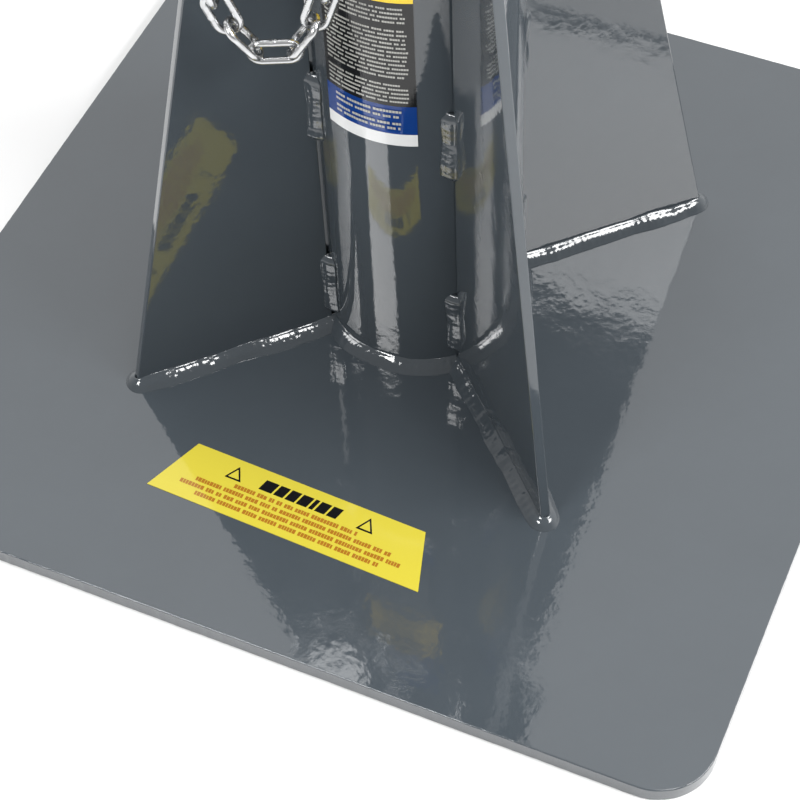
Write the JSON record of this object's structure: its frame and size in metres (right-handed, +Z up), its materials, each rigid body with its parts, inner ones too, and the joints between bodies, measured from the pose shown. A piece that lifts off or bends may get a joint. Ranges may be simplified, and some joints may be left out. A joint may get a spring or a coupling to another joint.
{
  "type": "axle stand",
  "caption": "Pin-type axle stand: a square base plate, a gusseted round column, a drilled ram with a cradle, and a locking pin tethered by a chain.",
  "frame": {"origin": "centre of the base plate's underside, on the floor under the column's axis", "axes": "+Z up the column; -Y is the front, the side that both labels face; +X to the right seen from the front"},
  "size_m": [0.4, 0.4, 0.5581],
  "materials": {
    "enamel": "gloss dark slate enamel with a light orange peel",
    "weld_enamel": "gloss enamel over rippled weld beads",
    "zinc_bar": "bright zinc plated bar",
    "zinc_chain": "bright zinc plated chain",
    "label_yellow": null,
    "label_black": null
  },
  "bodies": {
    "stand": {"base_plate": "enamel", "column_tube": "enamel", "column_collar": "enamel", "collar_weld": "weld_enamel", "column_foot_weld": "weld_enamel", "base_label": "label_yellow", "column_label": "label_black", "column_chain_eye": "enamel", "gusset_front_left": "enamel", "foot_weld_front_left": "weld_enamel", "stitch_welds_front_left": "weld_enamel", "gusset_front_right": "enamel", "foot_weld_front_right": "weld_enamel", "stitch_welds_front_right": "weld_enamel", "gusset_rear_right": "enamel", "foot_weld_rear_right": "weld_enamel", "stitch_welds_rear_right": "weld_enamel", "gusset_rear_left": "enamel", "foot_weld_rear_left": "weld_enamel", "stitch_welds_rear_left": "weld_enamel"},
    "ram": {"ram_tube": "enamel", "head_disc": "enamel", "head_weld": "weld_enamel", "cradle": "enamel", "cradle_rib_left": "enamel", "cradle_rib_right": "enamel"},
    "locking_pin": {"locking_pin": "zinc_bar", "pin_chain_eye": "zinc_bar"},
    "chain_column_side": {"chain_column_side": "zinc_chain"},
    "chain_pin_side": {"chain_pin_side": "zinc_chain"}
  },
  "joints": [
    {"name": "ram_lift", "type": "slide", "parent": "stand", "child": "ram", "axis": [0, 0, 1], "range_m": [0, 0.3]},
    {"name": "pin_pull", "type": "slide", "parent": "ram", "child": "locking_pin", "axis": [-0.7071, -0.7071, 0], "range_m": [0, 0.125]},
    {"name": "chain_swing", "type": "hinge", "parent": "stand", "child": "chain_column_side", "pos_m": [0.00657, -0.05355, 0.372], "axis": [-0.9073, -0.4204, 0], "range_deg": [-4, 40]},
    {"name": "chain_swing_pin_side", "type": "hinge", "parent": "locking_pin", "child": "chain_pin_side", "pos_m": [-0.05845, -0.08367, 0.372], "axis": [-0.9073, -0.4204, 0], "range_deg": [-4, 40]}
  ],
  "couplings": [
    {"joint": "chain_swing_pin_side", "follows": "chain_swing", "ratio": 1}
  ]
}
